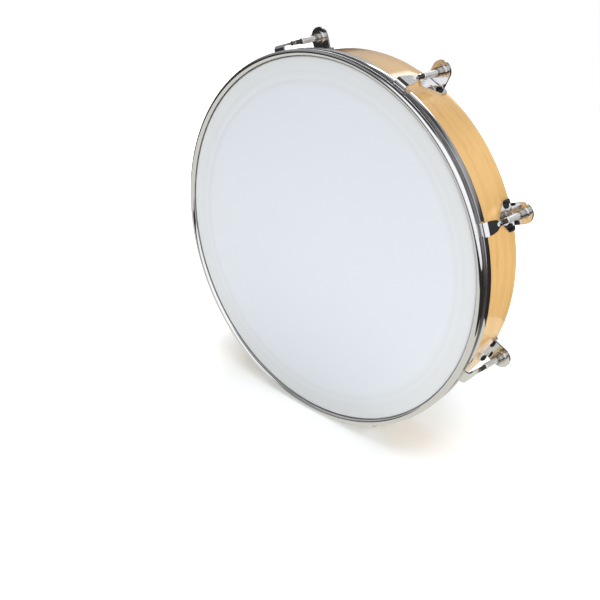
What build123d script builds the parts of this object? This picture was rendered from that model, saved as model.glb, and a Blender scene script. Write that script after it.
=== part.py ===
# Tunable frame drum (a tambourine with no jingles), 10 inch, standing on its rim.
#
# Frame: +Z up, +X to the right of someone who faces the head, +Y from the head
# towards the open back, so the head faces -Y.  The origin is on the floor, under
# the middle of the drum.  The drum's axis is parallel to Y at z = STAND_R.
#
# In the helper functions every piece is first made about the drum's own axis:
# depth y = 0 is the front of the counter hoop's bead, and the tuning hardware is
# made at clock position 0 (radial = +X, tangential = Z) and then turned about Y.
from build123d import *
import math
import os

# ---------------------------------------------------------------- dimensions
STAND_R = 132.0            # drum axis above the floor
SHELL_Y1 = 49.0            # back edge of the shell, measured from the front of the bead

# wooden shell, bent plywood (nominal 10 inch / 25 cm)
SHELL_RO = 125.5
SHELL_T = 6.0
SHELL_RI = SHELL_RO - SHELL_T
SHELL_Y0 = 2.3
EDGE_R = 1.4               # rounding of the bearing edge
BACK_R = 0.9

# plastic head and the flesh hoop that its collar is moulded to
FILM_T = 0.25
FILM_RO = 127.4
FILM_BEND = 1.0
COLLAR_Y1 = 11.0
FLESH_RO = 130.3
FLESH_Y0 = 8.0

# steel counter hoop: rolled bead, groove, shoulder and skirt, one sheet
SHEET = 1.0
BEAD_R = 2.1
BEAD_C = 129.9             # radius of the circle the bead's middle lies on
NECK_RO = 129.9            # bottom of the groove
SHOULDER_Y = 6.95          # front face of the shoulder that the claws pull on
SKIRT_RO = 131.4
SKIRT_Y1 = 11.7

# tuning hardware
N_LUGS = 8
PHASE = 22.5               # the drum stands on the two lowest lugs
ROD_C = 135.2              # radius of the circle the hook shanks lie on
CLAW_T = 1.2
CLAW_W = 8.8
CLAW_Y0 = 5.45             # front face of the claw at rest
CLAW_BEND = 3.0
CLAW_TIP = 130.2           # how far in the lip reaches
CLAW_Y1 = 21.6
ROD_R = 1.5                # M3
ROD_Y1 = 43.5
TRAVEL = 1.0               # two turns of the nut at 0.5 mm pitch

TUBE_R = 2.1
TUBE_BORE = 1.54
TUBE_Y0 = 27.6
HEAD_AF = 7.0
HEAD_Y0, HEAD_Y1 = 47.7, 51.0
COLLAR_R = 3.1
COLLAR_Y = (39.6, 40.5, 45.0)

TAB_Y0, TAB_Y1 = 46.0, 47.5
TAB_R = 7.08
TAB_HOLE = 2.2
BASE_RI, BASE_RO = SHELL_RO + 0.05, SHELL_RO + 1.55
BASE_Y0 = 32.6
BOLT_Y = 42.2
BOLT_U = 7.0               # half the distance between the two bolts
BOLT_R = 1.5
BOLT_A = math.degrees(BOLT_U / SHELL_RO)
BOLT_HEAD_R, BOLT_HEAD_H = 2.4, 1.5
NUT_AF, NUT_T = 5.5, 2.4
SEAT = 0.07                # a flat nut just clears the hollow of the shell's inner face

Y_MID = HEAD_Y1 / 2

os.makedirs("parts", exist_ok=True)


def place(shape, angle=0.0):
    """From the drum's own frame to the row frame, turned to a clock position."""
    return Pos(0, -Y_MID, STAND_R) * Rot(0, -angle, 0) * shape


def spun(face):
    """A face drawn with x = radius and y = depth, turned once round the drum's axis."""
    return revolve(face, Axis.Y, 360)


def face_of(*edges):
    return make_face(Wire(list(edges)))


def poly(points):
    return make_face(Polyline(*points, close=True))


def rod(r, y0, y1, x=ROD_C):
    """A cylinder along the depth axis."""
    return Pos(x, (y0 + y1) / 2, 0) * Rot(90, 0, 0) * Cylinder(r, y1 - y0)


def radial(r, x0, x1):
    """A cylinder along the radius."""
    return Pos((x0 + x1) / 2, 0, 0) * Rot(0, 90, 0) * Cylinder(r, x1 - x0)


def block(x, y, z):
    return Pos(sum(x) / 2, sum(y) / 2, sum(z) / 2) * Box(x[1] - x[0], y[1] - y[0], z[1] - z[0])


def hexagon(af, amount):
    """A hexagonal prism along +Z from z = 0, with flats across Y."""
    return extrude(RegularPolygon(af / 2, 6, major_radius=False, rotation=0), amount)


# ---------------------------------------------------------------- shell
def make_shell():
    r0, r1, y0, y1 = SHELL_RI, SHELL_RO, SHELL_Y0, SHELL_Y1
    e, b = EDGE_R, BACK_R
    k = math.sqrt(0.5)
    profile = face_of(
        Line((r0 + b, y0), (r1 - e, y0)),
        ThreePointArc((r1 - e, y0), (r1 - e + e * k, y0 + e - e * k), (r1, y0 + e)),
        Line((r1, y0 + e), (r1, y1 - b)),
        ThreePointArc((r1, y1 - b), (r1 - b + b * k, y1 - b + b * k), (r1 - b, y1)),
        Line((r1 - b, y1), (r0 + b, y1)),
        ThreePointArc((r0 + b, y1), (r0 + b - b * k, y1 - b + b * k), (r0, y1 - b)),
        Line((r0, y1 - b), (r0, y0 + b)),
        ThreePointArc((r0, y0 + b), (r0 + b - b * k, y0 + b - b * k), (r0 + b, y0)),
    )
    shell = spun(profile)
    holes = []
    for i in range(N_LUGS):
        for side in (-1, 1):
            a = PHASE + i * 360 / N_LUGS + side * BOLT_A
            holes.append(Rot(0, -a, 0) * Pos(0, BOLT_Y, 0) * radial(BOLT_R + 0.05, r0 - 3, r1 + 3))
    return shell - holes


# ---------------------------------------------------------------- head
def make_head():
    t, ro, f, y0 = FILM_T, FILM_RO, FILM_BEND, SHELL_Y0 - FILM_T
    k = math.sqrt(0.5)
    fi = f - t
    cx, cy = ro - f, y0 + f
    profile = face_of(
        Line((0, y0), (cx, y0)),
        ThreePointArc((cx, y0), (cx + f * k, cy - f * k), (ro, cy)),
        Line((ro, cy), (ro, COLLAR_Y1)),
        Line((ro, COLLAR_Y1), (ro - t, COLLAR_Y1)),
        Line((ro - t, COLLAR_Y1), (ro - t, cy)),
        ThreePointArc((ro - t, cy), (cx + fi * k, cy - fi * k), (cx, y0 + t)),
        Line((cx, y0 + t), (0, y0 + t)),
        Line((0, y0 + t), (0, y0)),
    )
    return spun(profile)


def make_flesh_hoop():
    ring = poly([(FILM_RO, FLESH_Y0), (FLESH_RO - 0.5, FLESH_Y0), (FLESH_RO, FLESH_Y0 + 0.5),
                 (FLESH_RO, COLLAR_Y1), (FILM_RO, COLLAR_Y1)])
    return spun(ring)


# ---------------------------------------------------------------- counter hoop
def make_counter_hoop():
    neck_ri, skirt_ri = NECK_RO - SHEET, SKIRT_RO - SHEET
    r_in, r_out = 0.7, 0.8          # bends of the shoulder, groove side and outside
    k = math.sqrt(0.5)
    y0, y1 = SHOULDER_Y, SHOULDER_Y + SHEET
    sheet = face_of(
        Line((neck_ri, BEAD_R), (NECK_RO, BEAD_R)),
        Line((NECK_RO, BEAD_R), (NECK_RO, y0 - 0.3)),
        ThreePointArc((NECK_RO, y0 - 0.3), (NECK_RO + 0.3 - 0.3 * k, y0 - 0.3 + 0.3 * k), (NECK_RO + 0.3, y0)),
        Line((NECK_RO + 0.3, y0), (SKIRT_RO - r_out, y0)),
        ThreePointArc((SKIRT_RO - r_out, y0), (SKIRT_RO - r_out + r_out * k, y0 + r_out - r_out * k),
                      (SKIRT_RO, y0 + r_out)),
        Line((SKIRT_RO, y0 + r_out), (SKIRT_RO, SKIRT_Y1 - 0.3)),
        ThreePointArc((SKIRT_RO, SKIRT_Y1 - 0.3), (SKIRT_RO - 0.3 + 0.3 * k, SKIRT_Y1 - 0.3 + 0.3 * k),
                      (SKIRT_RO - 0.3, SKIRT_Y1)),
        Line((SKIRT_RO - 0.3, SKIRT_Y1), (skirt_ri + 0.3, SKIRT_Y1)),
        ThreePointArc((skirt_ri + 0.3, SKIRT_Y1), (skirt_ri + 0.3 - 0.3 * k, SKIRT_Y1 - 0.3 + 0.3 * k),
                      (skirt_ri, SKIRT_Y1 - 0.3)),
        Line((skirt_ri, SKIRT_Y1 - 0.3), (skirt_ri, y1)),
        Line((skirt_ri, y1), (neck_ri + r_in, y1)),
        ThreePointArc((neck_ri + r_in, y1), (neck_ri + r_in - r_in * k, y1 - r_in + r_in * k),
                      (neck_ri, y1 - r_in)),
        Line((neck_ri, y1 - r_in), (neck_ri, BEAD_R)),
    )
    bead = Pos(BEAD_C, BEAD_R) * Circle(BEAD_R)
    return spun(bead + sheet)


# ---------------------------------------------------------------- tuning hardware
def make_claw():
    """Stamped claw with a rolled front, on a threaded shank."""
    top = ROD_C + CLAW_T / 2
    R, t, y0 = CLAW_BEND, CLAW_T, CLAW_Y0
    k = math.sqrt(0.5)
    cx, cy = top - R, y0 + R
    ri = R - t
    side = face_of(
        Line((CLAW_TIP, y0), (cx, y0)),
        ThreePointArc((cx, y0), (cx + R * k, cy - R * k), (top, cy)),
        Line((top, cy), (top, CLAW_Y1)),
        Line((top, CLAW_Y1), (top - t, CLAW_Y1)),
        Line((top - t, CLAW_Y1), (top - t, cy)),
        ThreePointArc((top - t, cy), (cx + ri * k, cy - ri * k), (cx, y0 + t)),
        Line((cx, y0 + t), (CLAW_TIP, y0 + t)),
        Line((CLAW_TIP, y0 + t), (CLAW_TIP, y0)),
    )
    body = extrude(side, CLAW_W, both=True)
    w = CLAW_W / 2
    half = [(y0 - 1, w), (11.0, w), (17.0, 3.4), (20.2, ROD_R), (CLAW_Y1, ROD_R)]
    outline = Plane.YZ * poly(half + [(y, -z) for y, z in reversed(half)])
    outline = Pos(CLAW_TIP - 2, 0, 0) * extrude(outline, 14)
    shank = rod(ROD_R, 18.6, ROD_Y1)
    shank = chamfer(shank.edges().sort_by(Axis.Y)[-1], 0.5)
    return (body & outline) + shank


def make_tension_nut():
    """Tubular nut with a slotted hexagon head; its shank passes through the lug."""
    tube = rod(TUBE_R, TUBE_Y0, HEAD_Y0 + 0.5)
    tube = chamfer(tube.edges().sort_by(Axis.Y)[0], 0.3)
    head = Pos(ROD_C, HEAD_Y0, 0) * Rot(-90, 0, 0) * hexagon(HEAD_AF, HEAD_Y1 - HEAD_Y0)
    dome = Pos(ROD_C, HEAD_Y1 - 9.0, 0) * Sphere(9.0)
    head = head & dome
    bore = rod(TUBE_BORE, TUBE_Y0 - 1, ROD_Y1 + 1.0)
    slot = block((ROD_C - 6, ROD_C + 6), (HEAD_Y1 - 1.1, HEAD_Y1 + 2), (-0.55, 0.55))
    return tube + head - bore - slot


def make_collar():
    """Ferrule pressed on the nut's shank, in front of the lug."""
    y0, y1, y2 = COLLAR_Y
    ring = rod(COLLAR_R, y1, y2) + rod(2.65, y0, y1 + 0.1)
    return ring - rod(TUBE_R, y0 - 1, y2 + 1)


def make_washer():
    return rod(4.2, TAB_Y0 - 0.8, TAB_Y0) - rod(TAB_HOLE, TAB_Y0 - 2, TAB_Y0 + 1)


def make_bracket():
    """Bent lug: a triangular foot that follows the shell, and an upright ear."""
    foot = spun(Pos((BASE_RI + BASE_RO) / 2, (BASE_Y0 + TAB_Y1) / 2) * Rectangle(
        BASE_RO - BASE_RI, TAB_Y1 - BASE_Y0))
    half = [(BASE_Y0, 1.5), (40.6, 10.4), (TAB_Y1, 10.4)]
    outline = Plane.YZ * poly(half + [(y, -z) for y, z in reversed(half)])
    prism = extrude(outline, 20)
    prism = fillet(prism.edges().filter_by(Axis.X), 1.3)
    foot = foot & (Pos(SHELL_RO - 8, 0, 0) * prism)
    ear = block((BASE_RO - 0.8, ROD_C), (TAB_Y0, TAB_Y1), (-TAB_R, TAB_R)) + rod(TAB_R, TAB_Y0, TAB_Y1)
    g = 0.8
    gusset = block((BASE_RO - 0.8, BASE_RO + g), (TAB_Y0 - g, TAB_Y0 + 0.3), (-TAB_R, TAB_R))
    gusset = gusset - (Pos(BASE_RO + g, TAB_Y0 - g, 0) * Cylinder(g, 40))
    lug = foot + ear + gusset
    lug = lug - rod(TAB_HOLE, TAB_Y0 - 2, TAB_Y1 + 2)
    for side in (-1, 1):
        lug = lug - (Rot(0, -side * BOLT_A, 0) * Pos(0, BOLT_Y, 0) * radial(
            BOLT_R + 0.05, SHELL_RO - 6, BASE_RO + 5))
    return lug


def make_bolt():
    """Domed, slotted machine screw: head on the lug's foot, point inside the shell."""
    x0, h, r = BASE_RO + 0.03, BOLT_HEAD_H, 3.65
    head = Pos(x0, 0, 0) * Rot(0, 90, 0) * (
        Pos(0, 0, h / 2) * Cylinder(BOLT_HEAD_R, h) & Pos(0, 0, h - r) * Sphere(r))
    shank = radial(BOLT_R, SHELL_RI - SEAT - NUT_T - 0.9, x0 + 0.4)
    shank = chamfer(shank.edges().sort_by(Axis.X)[0], 0.4)
    recess = block((x0 + h - 0.6, x0 + h + 2), (-3.0, 3.0), (-0.35, 0.35))
    return Pos(0, BOLT_Y, 0) * (head + shank - recess)


def make_nut():
    seat = Pos(SHELL_RI - SEAT, 0, 0) * Rot(0, -90, 0)
    nut = (seat * hexagon(NUT_AF, NUT_T)) & (seat * Pos(0, 0, NUT_T - 4.21) * Sphere(5.0))
    return Pos(0, BOLT_Y, 0) * (nut - radial(BOLT_R + 0.02, SHELL_RI - 5, SHELL_RI + 2))


def save(name, shape):
    export_step(shape, os.path.join("parts", name + ".step"))


def main():
    save("shell", place(make_shell()))
    save("drum_head", place(make_head()))
    save("flesh_hoop", place(make_flesh_hoop()))
    save("counter_hoop", place(make_counter_hoop()))

    claw, nut, collar, bracket = make_claw(), make_tension_nut(), make_collar(), make_bracket()
    washer, bolt, hexnut = make_washer(), make_bolt(), make_nut()
    washers, bolts, nuts = [], [], []
    for i in range(N_LUGS):
        a = PHASE + i * 360 / N_LUGS
        n = i + 1
        save(f"claw_hook_{n}", place(claw, a))
        save(f"tension_nut_{n}", place(nut, a))
        save(f"nut_collar_{n}", place(collar, a))
        save(f"lug_bracket_{n}", place(bracket, a))
        washers.append(place(washer, a))
        for side in (-1, 1):
            bolts.append(place(bolt, a + side * BOLT_A))
            nuts.append(place(hexnut, a + side * BOLT_A))
    save("lug_washers", Compound(washers))
    save("bracket_bolts", Compound(bolts))
    save("bracket_nuts", Compound(nuts))


main()
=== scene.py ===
# Looks of a tunable frame drum (tambourine without jingles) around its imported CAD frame.
# Units are metres, in the row frame: +Z up, head facing -Y, drum axis along Y at z = 0.132.
import math

import bmesh
import bpy
import numpy as np
from mathutils import Matrix, Vector


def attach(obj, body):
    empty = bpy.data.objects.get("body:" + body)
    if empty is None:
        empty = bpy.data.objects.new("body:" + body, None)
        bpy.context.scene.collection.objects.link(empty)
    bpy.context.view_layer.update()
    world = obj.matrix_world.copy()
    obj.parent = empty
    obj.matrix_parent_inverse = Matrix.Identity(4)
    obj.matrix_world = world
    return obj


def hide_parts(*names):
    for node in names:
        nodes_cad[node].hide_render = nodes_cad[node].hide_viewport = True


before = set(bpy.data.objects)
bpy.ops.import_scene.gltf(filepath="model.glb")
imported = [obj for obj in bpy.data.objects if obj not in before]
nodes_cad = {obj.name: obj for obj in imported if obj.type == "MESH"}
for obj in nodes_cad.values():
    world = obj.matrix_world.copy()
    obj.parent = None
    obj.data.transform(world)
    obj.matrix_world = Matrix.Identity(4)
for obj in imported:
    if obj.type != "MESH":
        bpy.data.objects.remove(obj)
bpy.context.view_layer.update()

MM = 0.001
AXIS_Z = 0.132             # height of the drum's axis
Y_MID = 25.5               # depth of the origin behind the front of the bead, mm
N_LUGS = 8
PHASE = 22.5
ROD_C = 135.2

scene = bpy.context.scene


# ---------------------------------------------------------------- mesh helpers
def link(name, mesh):
    obj = bpy.data.objects.new(name, mesh)
    scene.collection.objects.link(obj)
    return obj


def arc(cx, cy, r, a0, a1, n):
    """Points of an arc in the (radius, depth) plane, angles in degrees."""
    return [(cx + r * math.cos(math.radians(a0 + (a1 - a0) * i / n)),
             cy + r * math.sin(math.radians(a0 + (a1 - a0) * i / n))) for i in range(n + 1)]


def finish_mesh(mesh, angle=32):
    bm = bmesh.new()
    bm.from_mesh(mesh)
    bmesh.ops.recalc_face_normals(bm, faces=bm.faces)
    bm.to_mesh(mesh)
    bm.free()
    mesh.shade_smooth()
    mesh.set_sharp_from_angle(angle=math.radians(angle))
    mesh.update()


def revolve(name, profile, seg=384, tags=None, angle=32, wobble=None):
    """A closed (radius, depth) profile in mm, turned round the drum's axis. tags holds a material index per profile edge."""
    pts = []
    n = len(profile)
    for i in range(seg):
        a = 2 * math.pi * i / seg
        for r, y in profile:
            rr, yy = (r, y) if wobble is None else wobble(r, y, a)
            pts.append((rr * math.cos(a) * MM, (yy - Y_MID) * MM, AXIS_Z + rr * math.sin(a) * MM))
    faces, mats = [], []
    for i in range(seg):
        j = (i + 1) % seg
        for k in range(n):
            m = (k + 1) % n
            faces.append((i * n + k, i * n + m, j * n + m, j * n + k))
            mats.append(tags[k] if tags else 0)
    mesh = bpy.data.meshes.new(name)
    mesh.from_pydata(pts, [], faces)
    mesh.polygons.foreach_set("material_index", mats)
    finish_mesh(mesh, angle)
    return link(name, mesh)


# ---------------------------------------------------------------- material helpers
class Mat:
    """A small node-tree builder round one Principled shader."""

    def __init__(self, name):
        self.mat = bpy.data.materials.new(name)
        self.mat.use_nodes = True
        self.nt = self.mat.node_tree
        self.bsdf = self.nt.nodes["Principled BSDF"]
        tc = self.nt.nodes.new("ShaderNodeTexCoord")
        self.obj = tc.outputs["Object"]

    def set(self, **kw):
        for k, v in kw.items():
            self.bsdf.inputs[k.replace("_", " ")].default_value = v
        return self

    def node(self, kind, **kw):
        n = self.nt.nodes.new(kind)
        for k, v in kw.items():
            setattr(n, k, v)
        return n

    def link(self, a, b):
        self.nt.links.new(a, b)

    def mapping(self, scale=(1, 1, 1), loc=(0, 0, 0), rot=(0, 0, 0), src=None):
        m = self.node("ShaderNodeMapping")
        m.inputs["Scale"].default_value = scale
        m.inputs["Location"].default_value = loc
        m.inputs["Rotation"].default_value = rot
        self.link(src or self.obj, m.inputs["Vector"])
        return m.outputs["Vector"]

    def noise(self, vec, scale, detail=3.0, rough=0.5, dist=0.0):
        n = self.node("ShaderNodeTexNoise")
        n.inputs["Scale"].default_value = scale
        n.inputs["Detail"].default_value = detail
        n.inputs["Roughness"].default_value = rough
        n.inputs["Distortion"].default_value = dist
        self.link(vec, n.inputs["Vector"])
        return n.outputs["Fac"]

    def ramp(self, fac, stops, interp="LINEAR"):
        r = self.node("ShaderNodeValToRGB")
        r.color_ramp.interpolation = interp
        el = r.color_ramp.elements
        while len(el) < len(stops):
            el.new(0.5)
        for e, (p, c) in zip(el, stops):
            e.position = p
            e.color = c if len(c) == 4 else (*c, 1)
        self.link(fac, r.inputs["Fac"])
        return r.outputs["Color"]

    def grey(self, fac, lo, hi, flo=0.0, fhi=1.0):
        m = self.node("ShaderNodeMapRange")
        m.inputs["From Min"].default_value = flo
        m.inputs["From Max"].default_value = fhi
        m.inputs["To Min"].default_value = lo
        m.inputs["To Max"].default_value = hi
        self.link(fac, m.inputs["Value"])
        return m.outputs["Result"]

    def mix(self, fac, a, b, mode="MIX"):
        m = self.node("ShaderNodeMix", data_type="RGBA", blend_type=mode)
        if isinstance(fac, (int, float)):
            m.inputs["Factor"].default_value = fac
        else:
            self.link(fac, m.inputs["Factor"])
        for key, v in (("A", a), ("B", b)):
            s = [i for i in m.inputs if i.name == key and i.type == "RGBA"][0]
            if isinstance(v, tuple):
                s.default_value = v if len(v) == 4 else (*v, 1)
            else:
                self.link(v, s)
        return [o for o in m.outputs if o.type == "RGBA"][0]

    def math(self, op, a, b=None, clamp=False):
        m = self.node("ShaderNodeMath", operation=op, use_clamp=clamp)
        for i, v in enumerate((a, b)):
            if v is None:
                continue
            if isinstance(v, (int, float)):
                m.inputs[i].default_value = v
            else:
                self.link(v, m.inputs[i])
        return m.outputs[0]

    def radius(self):
        """Distance from the drum's axis, in metres."""
        sep = self.node("ShaderNodeSeparateXYZ")
        self.link(self.obj, sep.inputs[0])
        z = self.math("SUBTRACT", sep.outputs["Z"], AXIS_Z)
        return self.math("SQRT", self.math("ADD", self.math("MULTIPLY", sep.outputs["X"], sep.outputs["X"]),
                                           self.math("MULTIPLY", z, z)))

    def color(self, c):
        self.link(c, self.bsdf.inputs["Base Color"])
        return self

    def rough(self, r):
        self.link(r, self.bsdf.inputs["Roughness"])
        return self

    def bump(self, height, strength=0.2, distance=0.0001, normal=None):
        b = self.node("ShaderNodeBump")
        b.inputs["Strength"].default_value = strength
        b.inputs["Distance"].default_value = distance
        self.link(height, b.inputs["Height"])
        if normal is not None:
            self.link(normal, b.inputs["Normal"])
        self.link(b.outputs["Normal"], self.bsdf.inputs["Normal"])
        return b.outputs["Normal"]


def lacquered_wood():
    m = Mat("lacquered_wood")
    c = m.mapping(scale=(1, 1, 1), loc=(0, 0, -AXIS_Z))
    broad = m.noise(m.mapping(scale=(7, 150, 7), src=c), 1.0, 4, 0.55, 0.35)
    fine = m.noise(m.mapping(scale=(22, 900, 22), src=c), 1.0, 4, 0.6, 0.2)
    cloud = m.noise(m.mapping(scale=(26, 60, 26), loc=(3, 1, 5), src=c), 1.0, 4, 0.55, 0.6)
    fleck = m.noise(m.mapping(scale=(60, 1500, 60), loc=(7, 2, 1), src=c), 1.0, 2, 0.5)
    base = m.ramp(broad, [(0.30, (0.770, 0.462, 0.156)), (0.45, (0.812, 0.498, 0.178)),
                          (0.60, (0.840, 0.525, 0.194)), (0.75, (0.800, 0.484, 0.168))])
    fibre = m.ramp(fine, [(0.25, (0.86, 0.83, 0.78)), (0.55, (1, 1, 1)), (0.8, (0.95, 0.93, 0.90))])
    base = m.mix(0.75, base, fibre, "MULTIPLY")
    tone = m.ramp(cloud, [(0.32, (0.945, 0.925, 0.89)), (0.5, (0.985, 0.98, 0.97)), (0.68, (1.03, 1.035, 1.05))])
    base = m.mix(0.8, base, tone, "MULTIPLY")
    # painted shade: the wood is darker towards the bottom and a little darker and bluer at the very top, standing in
    # for how the light falls on the shell
    height = m.node("ShaderNodeSeparateXYZ")
    m.link(m.obj, height.inputs[0])
    painted_shade_by_height = m.ramp(m.math("DIVIDE", height.outputs["Z"], 0.26, clamp=True), [
        (0.15, (0.82, 0.80, 0.76)), (0.38, (0.85, 0.83, 0.79)), (0.54, (0.915, 0.905, 0.90)),
        (0.72, (0.955, 0.955, 0.97)), (0.84, (0.96, 0.955, 0.965)), (0.93, (0.88, 0.88, 0.92))])
    base = m.mix(1.0, base, painted_shade_by_height, "MULTIPLY")
    spots = m.ramp(fleck, [(0.30, (0.72, 0.60, 0.45)), (0.37, (1, 1, 1))])
    base = m.mix(0.6, base, spots, "MULTIPLY")
    m.color(base)
    m.rough(m.grey(fine, 0.42, 0.30))
    m.set(IOR=1.5, Coat_Weight=1.0, Coat_Roughness=0.05, Coat_IOR=1.5)
    m.bump(m.math("ADD", m.math("MULTIPLY", fine, 0.5), m.math("MULTIPLY", broad, 0.35)), 0.08, 0.00010)
    return m.mat


def ply_edge():
    """End of the bent plywood: thin layers one outside the other."""
    m = Mat("ply_edge")
    r = m.radius()
    wob = m.noise(m.mapping(scale=(30, 30, 30)), 1.0, 2)
    layer = m.math("FRACT", m.math("ADD", m.math("MULTIPLY", r, 1000 / 1.2), m.math("MULTIPLY", wob, 0.25)))
    fine = m.noise(m.mapping(scale=(420, 900, 420)), 1.0, 3)
    col = m.ramp(layer, [(0.0, (0.40, 0.23, 0.10)), (0.06, (0.72, 0.50, 0.25)), (0.48, (0.80, 0.58, 0.31)),
                         (0.52, (0.60, 0.37, 0.17)), (0.94, (0.66, 0.43, 0.20)), (1.0, (0.40, 0.23, 0.10))])
    col = m.mix(0.5, col, m.ramp(fine, [(0.3, (0.78, 0.74, 0.68)), (0.7, (1, 1, 1))]), "MULTIPLY")
    m.color(col)
    m.rough(m.grey(fine, 0.50, 0.34))
    m.set(Coat_Weight=0.5, Coat_Roughness=0.12)
    m.bump(m.math("ADD", layer, fine), 0.15, 0.0001)
    return m.mat


def chrome(name="chrome_plate", tint=(0.83, 0.83, 0.84), rough=(0.045, 0.10)):
    m = Mat(name)
    fine = m.noise(m.mapping(scale=(900, 900, 900)), 1.0, 3, 0.6)
    wide = m.noise(m.mapping(scale=(55, 55, 55)), 1.0, 2, 0.5)
    scr = m.noise(m.mapping(scale=(2600, 160, 2600)), 1.0, 3, 0.6)
    col = m.mix(m.grey(wide, 0.0, 0.5), (*tint, 1), (tint[0] * 0.93, tint[1] * 0.93, tint[2] * 0.94, 1))
    m.color(col)
    m.rough(m.math("ADD", m.grey(fine, rough[0], rough[1]), m.math("MULTIPLY", m.grey(scr, 0, 1, 0.62, 0.8), 0.05)))
    m.set(Metallic=1.0)
    m.bump(m.math("ADD", m.math("MULTIPLY", wide, 1.0), m.math("MULTIPLY", scr, 0.01)), 0.05, 0.00005)
    return m.mat


def hoop_plate():
    """Chrome with painted shade: a dark, rougher band in the groove that the claws pull on."""
    m = Mat("hoop_plate")
    sep = m.node("ShaderNodeSeparateXYZ")
    m.link(m.obj, sep.inputs[0])
    y = sep.outputs["Y"]
    fine = m.noise(m.mapping(scale=(900, 900, 900)), 1.0, 3, 0.6)
    wide = m.noise(m.mapping(scale=(55, 55, 55)), 1.0, 2, 0.5)
    groove = m.math("MULTIPLY", m.grey(y, 0.0, 1.0, (4.0 - Y_MID) * MM, (4.6 - Y_MID) * MM),
                    m.grey(y, 1.0, 0.0, (7.15 - Y_MID) * MM, (7.5 - Y_MID) * MM))
    out = m.grey(m.radius(), 0.0, 1.0, 129.4 * MM, 129.7 * MM)
    # painted shade: the groove outside the bead is painted dark, blotchy with noise, and made rougher
    groove_shade = m.math("MULTIPLY", m.math("MULTIPLY", groove, out), m.grey(wide, 0.62, 0.86, 0.3, 0.7))
    col = m.mix(m.grey(wide, 0.0, 0.5), (0.83, 0.83, 0.84, 1), (0.775, 0.775, 0.79, 1))
    m.color(m.mix(groove_shade, col, (0.13, 0.12, 0.115, 1)))
    m.rough(m.math("ADD", m.grey(fine, 0.05, 0.075), m.math("MULTIPLY", groove_shade, 0.36)))
    m.set(Metallic=1.0)
    m.bump(m.math("ADD", wide, m.math("MULTIPLY", fine, 0.02)), 0.04, 0.00005)
    return m.mat


def nut_plate():
    """Satin plated tube, with a dark head behind the lug."""
    m = Mat("nut_plate")
    sep = m.node("ShaderNodeSeparateXYZ")
    m.link(m.obj, sep.inputs[0])
    fine = m.noise(m.mapping(scale=(1100, 1100, 1100)), 1.0, 3, 0.6)
    turned = m.noise(m.mapping(scale=(120, 3200, 120)), 1.0, 3, 0.6)
    head = m.grey(sep.outputs["Y"], 0.0, 1.0, (47.5 - Y_MID) * MM, (47.7 - Y_MID) * MM)
    light = m.mix(m.grey(fine, 0.0, 0.6), (0.90, 0.90, 0.89, 1), (0.83, 0.83, 0.82, 1))
    m.color(m.mix(head, light, (0.10, 0.095, 0.09, 1)))
    m.rough(m.grey(turned, 0.16, 0.28))
    m.set(Metallic=0.62)
    m.bump(turned, 0.08, 0.00004)
    return m.mat


def hook_plate():
    """Chromed claw, dark rolled thread on the shank behind it."""
    m = Mat("hook_plate")
    sep = m.node("ShaderNodeSeparateXYZ")
    m.link(m.obj, sep.inputs[0])
    y = sep.outputs["Y"]
    fine = m.noise(m.mapping(scale=(900, 900, 900)), 1.0, 3, 0.6)
    shank = m.grey(y, 0.0, 1.0, (20.9 - Y_MID) * MM, (21.4 - Y_MID) * MM)
    # the dark shank is the thread's own finish; its lighter and darker stripes along the pitch are painted shade in
    # the thread roots
    turn = m.math("SINE", m.math("MULTIPLY", y, 2 * math.pi / (0.5 * MM)))
    groove = m.grey(turn, 0.0, 1.0, -1.0, 1.0)
    dark = m.mix(groove, (0.045, 0.042, 0.040, 1), (0.16, 0.155, 0.15, 1))
    m.color(m.mix(shank, (0.83, 0.83, 0.84, 1), dark))
    m.rough(m.math("ADD", m.grey(fine, 0.045, 0.10), m.math("MULTIPLY", shank, 0.30)))
    m.set(Metallic=1.0)
    m.bump(m.math("ADD", m.math("MULTIPLY", groove, shank), m.math("MULTIPLY", fine, 0.05)), 0.6, 0.0002)
    return m.mat


def dark_steel():
    m = Mat("blackened_steel")
    fine = m.noise(m.mapping(scale=(1400, 1400, 1400)), 1.0, 3, 0.6)
    wear = m.noise(m.mapping(scale=(260, 260, 260), loc=(4, 4, 4)), 1.0, 4, 0.6)
    m.color(m.mix(m.grey(wear, 0, 1, 0.60, 0.72), (0.035, 0.033, 0.034, 1), (0.16, 0.155, 0.15, 1)))
    m.rough(m.grey(fine, 0.22, 0.42))
    m.set(Metallic=0.85)
    m.bump(fine, 0.15, 0.00005)
    return m.mat


def plain_aluminium():
    m = Mat("plain_aluminium")
    brushed = m.noise(m.mapping(scale=(60, 2600, 60)), 1.0, 3, 0.6)
    spots = m.noise(m.mapping(scale=(150, 150, 150)), 1.0, 3, 0.6)
    m.color(m.mix(m.grey(spots, 0, 0.6), (0.72, 0.72, 0.73, 1), (0.58, 0.58, 0.60, 1)))
    m.rough(m.grey(brushed, 0.26, 0.45))
    m.set(Metallic=1.0)
    m.bump(brushed, 0.2, 0.00004)
    return m.mat


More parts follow.
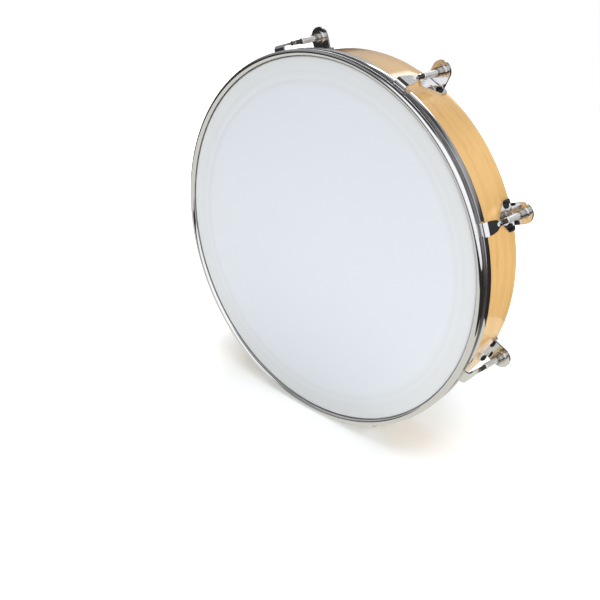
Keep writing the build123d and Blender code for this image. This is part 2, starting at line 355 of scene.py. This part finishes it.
def drum_film():
    m = Mat("coated_film")
    r = m.radius()
    cloud = m.noise(m.mapping(scale=(14, 14, 14)), 1.0, 3, 0.5)
    grit = m.noise(m.mapping(scale=(2600, 2600, 2600)), 1.0, 2, 0.6)
    rr = m.math("ADD", m.math("MULTIPLY", r, 1000), m.math("MULTIPLY", m.math("SUBTRACT", cloud, 0.5), 1.2))
    t = m.math("DIVIDE", rr, 127.0, clamp=True)
    s = lambda mm: mm / 127.0
    # painted light and shade: the radial bands stand in for light through the translucent film and shade at its
    # relief, bluer in the middle, darker rings near 112 and 118 mm, a warmer band where the shell stands behind it,
    # and a dark edge next to the hoop
    inner = (0.612, 0.648, 0.686)
    warm = (0.596, 0.606, 0.606)
    col = m.ramp(t, [(0.0, inner), (s(108), (0.600, 0.630, 0.662)), (s(112.2), (0.572, 0.593, 0.614)),
                     (s(114.0), (0.600, 0.618, 0.634)), (s(118.0), (0.580, 0.593, 0.604)),
                     (s(119.6), (0.594, 0.604, 0.608)), (s(121.0), warm), (s(126.4), warm),
                     (s(126.95), (0.54, 0.535, 0.515))])
    col = m.mix(m.grey(cloud, 0.0, 0.30), col, (0.592, 0.622, 0.658, 1))
    m.color(col)
    m.rough(m.grey(grit, 0.34, 0.46))
    m.set(IOR=1.5, Coat_Weight=0.15, Coat_Roughness=0.25)
    m.bump(m.math("ADD", m.math("MULTIPLY", grit, 0.4), cloud), 0.08, 0.00008)
    return m.mat


M_WOOD, M_PLY = lacquered_wood(), ply_edge()
M_CHROME = chrome()
M_NICKEL = chrome("nickel_plate", (0.78, 0.765, 0.735), (0.10, 0.20))
M_HOOP = hoop_plate()
M_HOOK = hook_plate()
M_NUT = nut_plate()
M_COLLAR = chrome("collar_plate", (0.50, 0.485, 0.46), (0.12, 0.24))
M_DARK = dark_steel()
M_ALU = plain_aluminium()
M_FILM = drum_film()


def dress(obj, mat):
    obj.data.materials.clear()
    obj.data.materials.append(mat)


# ---------------------------------------------------------------- shell
r0, r1, y0, y1 = 119.5, 125.5, 2.3, 49.0
e, b = 1.4, 0.9
prof, tags = [], []


def run(points, tag):
    for p in points:
        prof.append(p)
        tags.append(tag)


run(arc(r1 - e, y0 + e, e, -90, 0, 8), 0)
run([(r1, 10), (r1, 20), (r1, 30), (r1, 40)], 0)
run(arc(r1 - b, y1 - b, b, 0, 45, 4)[:-1], 0)
run(arc(r1 - b, y1 - b, b, 45, 90, 4), 1)
run([(122.5, y1)], 1)
run(arc(r0 + b, y1 - b, b, 90, 135, 4)[:-1], 1)
run(arc(r0 + b, y1 - b, b, 135, 180, 4), 0)
run([(r0, 35), (r0, 20)], 0)
run(arc(r0 + b, y0 + b, b, 180, 270, 5), 0)
shell = revolve("shell_wood", prof, 384, tags)
shell.data.materials.append(M_WOOD)
shell.data.materials.append(M_PLY)
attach(shell, "drum")
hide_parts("shell")

# ---------------------------------------------------------------- head
t, ro, f, yh = 0.25, 127.4, 1.0, 2.05
outer = [(0.5, yh), (30, yh), (60, yh), (90, yh), (105, yh)]
for r, d in ((110.5, 0), (111.6, 0.05), (112.4, 0.10), (113.2, 0.05), (114.2, 0), (117.6, 0), (118.6, 0.04), (119.4, 0.0)):
    outer.append((r, yh + d))
outer += arc(ro - f, yh + f, f, -90, 0, 10)
outer += [(ro, 7.0), (ro, 11.0)]
inner = [(ro - t, 11.0), (ro - t, 7.0)] + arc(ro - f, yh + f, f - t, 0, -90, 8)
inner += [(118.6, yh + t + 0.04), (112.4, yh + t + 0.10), (105, yh + t), (60, yh + t), (0.5, yh + t)]
film = revolve("drum_head_film", outer + inner, 360, angle=50)
bm = bmesh.new()
bm.from_mesh(film.data)
bm.verts.ensure_lookup_table()
n_prof = len(outer + inner)
for k, flip in ((0, False), (n_prof - 1, True)):
    ring = [bm.verts[i * n_prof + k] for i in range(360)]
    bm.faces.new(ring)
# the little tube left at the middle by the turned profile goes
tube = [fc for fc in bm.faces if len(fc.verts) == 4 and all(
    math.hypot(v.co.x, v.co.z - AXIS_Z) < 0.6 * MM for v in fc.verts)]
bmesh.ops.delete(bm, geom=tube, context="FACES_ONLY")
bmesh.ops.recalc_face_normals(bm, faces=bm.faces)
bm.to_mesh(film.data)
bm.free()
dress(film, M_FILM)
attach(film, "drum")
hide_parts("drum_head")

# ---------------------------------------------------------------- counter hoop
bc, br = 129.9, 2.1
neck, ni, so, si, sy, s1 = 129.9, 128.9, 131.4, 130.4, 6.95, 11.7
# outside: from the bead's back along the groove, over the shoulder, along the skirt, and back inside
gr = 130.1                 # bottom of the groove, just clear of the claws' lips
outside = [(gr - 0.25, 4.15), (gr - 0.05, 4.5), (gr, 5.0), (gr, 6.45)] + arc(gr + 0.4, 6.45, 0.4, 180, 100, 4)[1:]
outside += arc(so - 0.6, sy + 0.6, 0.6, -80, 0, 8)
outside += [(so, 9.6), (so, s1 - 0.35)] + arc(so - 0.35, s1 - 0.35, 0.35, 0, 180, 8)[1:]
inside = [(si + 0.3, 9.6), (si, sy + 1.35)] + arc(si - 0.35, sy + 1.35, 0.35, 0, -90, 4)[1:]
inside += arc(ni + 0.6, sy + 0.4, 0.6, 90, 180, 4) + [(ni, 5.0)]
loop = outside + inside
bead = arc(bc, br, br, 180 - 58, 360 + 84, 48)
hoop_profile = loop + bead
hoop = revolve("counter_hoop_rolled", hoop_profile, 720, angle=50)
dress(hoop, M_HOOP)
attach(hoop, "drum")
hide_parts("counter_hoop")

# ---------------------------------------------------------------- hardware kept from the CAD
for name, obj in nodes_cad.items():
    if name.startswith("claw_hook"):
        dress(obj, M_HOOK)
    elif name.startswith("lug_bracket"):
        dress(obj, M_CHROME)
    elif name.startswith("nut_collar"):
        dress(obj, M_COLLAR)
    elif name.startswith("tension_nut"):
        dress(obj, M_NUT)
    elif name == "lug_washers":
        dress(obj, M_NICKEL)
    elif name in ("bracket_bolts", "bracket_nuts"):
        dress(obj, M_DARK)
    elif name == "flesh_hoop":
        dress(obj, M_ALU)
    else:
        continue
    # edges of pressed and turned metal are never razor sharp
    mod = obj.modifiers.new("edge", "BEVEL")
    mod.width = 0.00016
    mod.segments = 3
    mod.limit_method = "ANGLE"
    mod.angle_limit = math.radians(38)
    mod.harden_normals = True

# ---------------------------------------------------------------- floor, light, camera
me = bpy.data.meshes.new("floor")
S = 0.80
me.from_pydata([(-S, -S, 0), (S, -S, 0), (S, S, 0), (-S, S, 0)], [], [(0, 1, 2, 3)])
floor = link("floor", me)
fm = Mat("floor_pale")
fn = fm.noise(fm.mapping(scale=(6, 6, 6)), 1.0, 3)
fm.color(fm.mix(fm.grey(fn, 0.2, 0.6), (0.93, 0.93, 0.915, 1), (0.90, 0.90, 0.885, 1)))
fm.rough(fm.grey(fn, 0.7, 0.8))
# painted light and shadow: the floor glows though it is no lamp, faintly next to the drum and fully from about 0.2 m
# out, which paints a soft shadow round its base
far = fm.node("ShaderNodeVectorMath", operation="LENGTH")
fm.link(fm.obj, far.inputs[0])
floor_glow_painted_shadow = fm.ramp(fm.grey(far.outputs["Value"], 0.0, 1.0, 0.0, 0.8), [
    (0.0, (0.12, 0.14, 0.145)), (0.10, (0.16, 0.18, 0.185)), (0.14, (0.34, 0.37, 0.38)), (0.185, (0.74, 0.76, 0.78)),
    (0.25, (0.97, 0.97, 0.97)), (1.0, (1.0, 1.0, 1.0))])
fm.link(floor_glow_painted_shadow, fm.bsdf.inputs["Emission Color"])
fm.set(Specular_IOR_Level=0.1, Emission_Strength=1.0)
dress(floor, fm.mat)


def area(name, loc, target, size, power, color=(1, 1, 1)):
    data = bpy.data.lights.new(name, "AREA")
    data.shape = "RECTANGLE"
    data.size, data.size_y = size
    data.energy = power
    data.color = color
    obj = bpy.data.objects.new(name, data)
    scene.collection.objects.link(obj)
    obj.location = loc
    d = Vector(target) - Vector(loc)
    obj.rotation_euler = d.to_track_quat("-Z", "Y").to_euler()
    obj.visible_glossy = False
    return obj


aim = (0, 0, 0.12)
area("key_right", (1.40, -0.80, 0.80), aim, (0.9, 0.9), 16, (1.0, 0.99, 0.975))
area("key_left", (-0.95, -1.35, 0.85), aim, (0.8, 1.0), 2.2, (0.95, 0.98, 1.0))
area("overhead", (0.20, -0.20, 1.40), aim, (1.1, 0.9), 6.5)


def reflection_card(name, corners, tone):
    """An emitting card that only mirror reflections see: a painted reflection that lights nothing and casts no
    shadow.
    """
    mesh = bpy.data.meshes.new(name)
    mesh.from_pydata(corners, [], [(0, 1, 2, 3)])
    obj = link(name, mesh)
    mat = bpy.data.materials.new(name)
    mat.use_nodes = True
    nt = mat.node_tree
    nt.nodes.remove(nt.nodes["Principled BSDF"])
    em = nt.nodes.new("ShaderNodeEmission")
    em.inputs["Color"].default_value = (*tone, 1)
    nt.links.new(em.outputs["Emission"], nt.nodes["Material Output"].inputs["Surface"])
    mesh.materials.append(mat)
    obj.visible_camera = False
    obj.visible_diffuse = False
    obj.visible_shadow = False
    obj.visible_transmission = False
    return obj


# painted reflections, seen only in mirrors: a pale emitting card under the drum stands in for the floor and ends
# close behind it and to its right; beyond it dark cards paint the studio dark
EB, ER, EL_, EF, H = 0.165, 0.27, -0.50, -0.42, 0.0006
FAR = 1.75
reflection_card("flag_back", [(-8, EB, H), (FAR, EB, H), (FAR, 8, H), (-8, 8, H)], (0.030, 0.026, 0.025))
reflection_card("flag_right", [(ER, -FAR, H), (FAR, -FAR, H), (FAR, EB, H), (ER, EB, H)], (0.030, 0.026, 0.025))
reflection_card("flag_left", [(-8, -8, H), (EL_, -8, H), (EL_, EB, H), (-8, EB, H)], (0.030, 0.028, 0.028))
reflection_card("flag_front", [(EL_, -FAR, H), (ER, -FAR, H), (ER, EF, H), (EL_, EF, H)], (0.030, 0.028, 0.028))
reflection_card("floor_reflection_card", [(EL_, EF, H), (ER, EF, H), (ER, EB, H), (EL_, EB, H)], (0.74, 0.725, 0.655))

world = bpy.data.worlds.new("studio")
scene.world = world
world.use_nodes = True
wt = world.node_tree
bg = wt.nodes["Background"]


def wnode(kind, **kw):
    n = wt.nodes.new(kind)
    for k, v in kw.items():
        setattr(n, k, v)
    return n


def wramp(fac, stops):
    r = wnode("ShaderNodeValToRGB")
    el = r.color_ramp.elements
    while len(el) < len(stops):
        el.new(0.5)
    for x, (p, v) in zip(el, stops):
        x.position = p
        x.color = v if isinstance(v, tuple) else (v, v * 1.005, v * 1.02, 1)
    wt.links.new(fac, r.inputs["Fac"])
    return r.outputs["Color"]


def wmix(fac, a, b):
    m = wnode("ShaderNodeMix", data_type="RGBA")
    if isinstance(fac, (int, float)):
        m.inputs["Factor"].default_value = fac
    else:
        wt.links.new(fac, m.inputs["Factor"])
    sock = [i for i in m.inputs if i.type == "RGBA"]
    for s_, v in zip(sock, (a, b)):
        if isinstance(v, tuple):
            s_.default_value = v
        else:
            wt.links.new(v, s_)
    return [o for o in m.outputs if o.type == "RGBA"][0]


tcw = wnode("ShaderNodeTexCoord")
sep = wnode("ShaderNodeSeparateXYZ")
wt.links.new(tcw.outputs["Generated"], sep.inputs[0])
asin = wnode("ShaderNodeMath", operation="ARCSINE")
wt.links.new(sep.outputs["Z"], asin.inputs[0])
elev = wnode("ShaderNodeMapRange")
elev.inputs["From Min"].default_value = -math.pi / 2
elev.inputs["From Max"].default_value = math.pi / 2
wt.links.new(asin.outputs[0], elev.inputs["Value"])
EL = lambda d: (d + 90) / 180
atan = wnode("ShaderNodeMath", operation="ARCTAN2")
wt.links.new(sep.outputs["Y"], atan.inputs[0])
wt.links.new(sep.outputs["X"], atan.inputs[1])
azim = wnode("ShaderNodeMapRange")
azim.inputs["From Min"].default_value = -math.pi
azim.inputs["From Max"].default_value = math.pi
wt.links.new(atan.outputs[0], azim.inputs["Value"])
AZ = lambda d: (d + 180) / 360
# painted reflections: glossy rays see the banded sky below, all other rays a plain background and the camera plain
# white, so these bands light nothing
# behind and to the right: dark up to about 12 degrees, a dim grey band, dark again, pale overhead
right = wramp(elev.outputs[0], [(0.0, 0.02), (EL(9), 0.045), (EL(17), 0.28), (EL(29), 0.45), (EL(35), 0.25), (EL(38), 0.07),
                                (EL(60), 0.06), (EL(90), 0.05)])
# behind and to the left: the painted reflection of a pale screen up to 31 degrees with a bright upper edge
left = wramp(elev.outputs[0], [(0.0, 0.02), (EL(2), 0.03), (EL(8), 0.45), (EL(30), 0.60), (EL(30.9), 4.6), (EL(32.7), 4.6),
                               (EL(33.6), 0.60), (EL(41), 0.60), (EL(43), 0.08), (EL(90), 0.05)])
# in front and to the right: the painted reflection of one large soft box; further left it is dim
front = wramp(elev.outputs[0], [(0.0, 0.02), (EL(-16), 0.03), (EL(-12), 1.0), (EL(10), 1.05), (EL(40), 1.2), (EL(56), 1.15), (EL(62), 0.06), (EL(90), 0.05)])
front_left = wramp(elev.outputs[0], [(0.0, 0.02), (EL(6), 0.03), (EL(14), 0.22), (EL(40), 0.40), (EL(54), 0.20), (EL(66), 0.06), (EL(90), 0.05)])
sel = wramp(azim.outputs[0], [(AZ(86), 0.0), (AZ(96), 1.0), (AZ(143), 1.0), (AZ(156), 0.0)])
sel_f = wramp(azim.outputs[0], [(0.0, 0.0), (AZ(-116), 0.0), (AZ(-106), 1.0), (AZ(33), 1.0), (AZ(42), 0.0), (AZ(178), 0.0)])
sel_l = wramp(azim.outputs[0], [(0.0, 1.0), (AZ(-112), 1.0), (AZ(-110), 0.0), (AZ(178), 0.0)])
sky = wmix(sel_f, wmix(sel_l, wmix(sel, right, left), front_left), front)
lp = wnode("ShaderNodeLightPath")
SKY = 0.44
bg.inputs["Color"].default_value = (0.93, 0.95, 1.0, 1)
bg.inputs["Strength"].default_value = SKY
bg_gl = wnode("ShaderNodeBackground")
wt.links.new(sky, bg_gl.inputs["Color"])
mixg = wnode("ShaderNodeMixShader")
wt.links.new(lp.outputs["Is Glossy Ray"], mixg.inputs[0])
wt.links.new(bg.outputs[0], mixg.inputs[1])
wt.links.new(bg_gl.outputs[0], mixg.inputs[2])
bg_cam = wnode("ShaderNodeBackground")
bg_cam.inputs["Color"].default_value = (1, 1, 1, 1)
bg_cam.inputs["Strength"].default_value = 1.0
mixs = wnode("ShaderNodeMixShader")
wt.links.new(lp.outputs["Is Camera Ray"], mixs.inputs[0])
wt.links.new(mixg.outputs[0], mixs.inputs[1])
wt.links.new(bg_cam.outputs[0], mixs.inputs[2])
wt.links.new(mixs.outputs[0], wt.nodes["World Output"].inputs["Surface"])

scene.view_settings.view_transform = "Standard"
scene.view_settings.look = "None"
scene.view_settings.exposure = 0.0
scene.view_settings.gamma = 1.0

# camera: yaw 41.5, pitch 27.1, roll 3.4 degrees, 66.6 mm lens
yaw, pitch, roll = math.radians(41.50), math.radians(27.11), math.radians(3.36)
Rz = np.array([[math.cos(yaw), math.sin(yaw), 0], [-math.sin(yaw), math.cos(yaw), 0], [0, 0, 1]])
Rx = np.array([[1, 0, 0], [0, math.cos(pitch), -math.sin(pitch)], [0, math.sin(pitch), math.cos(pitch)]])
Ry = np.array([[math.cos(roll), 0, math.sin(roll)], [0, 1, 0], [-math.sin(roll), 0, math.cos(roll)]])
Mc = Ry @ Rx @ Rz
right, fwd, up = Mc[0], Mc[1], Mc[2]
Rc = np.array([right, -up, fwd])
tvec = np.array([0.0994, -0.2806, 5.7255]) * 132 * MM
pos = -Rc.T @ tvec + np.array([0, -Y_MID * MM, AXIS_Z])
cam_data = bpy.data.cameras.new("camera")
cam_data.sensor_width = 36.0
cam_data.lens = 1109.8 / 600 * 36.0
cam = bpy.data.objects.new("camera", cam_data)
scene.collection.objects.link(cam)
cam.matrix_world = Matrix([[right[0], up[0], -fwd[0], pos[0]], [right[1], up[1], -fwd[1], pos[1]],
                           [right[2], up[2], -fwd[2], pos[2]], [0, 0, 0, 1]])
scene.camera = cam
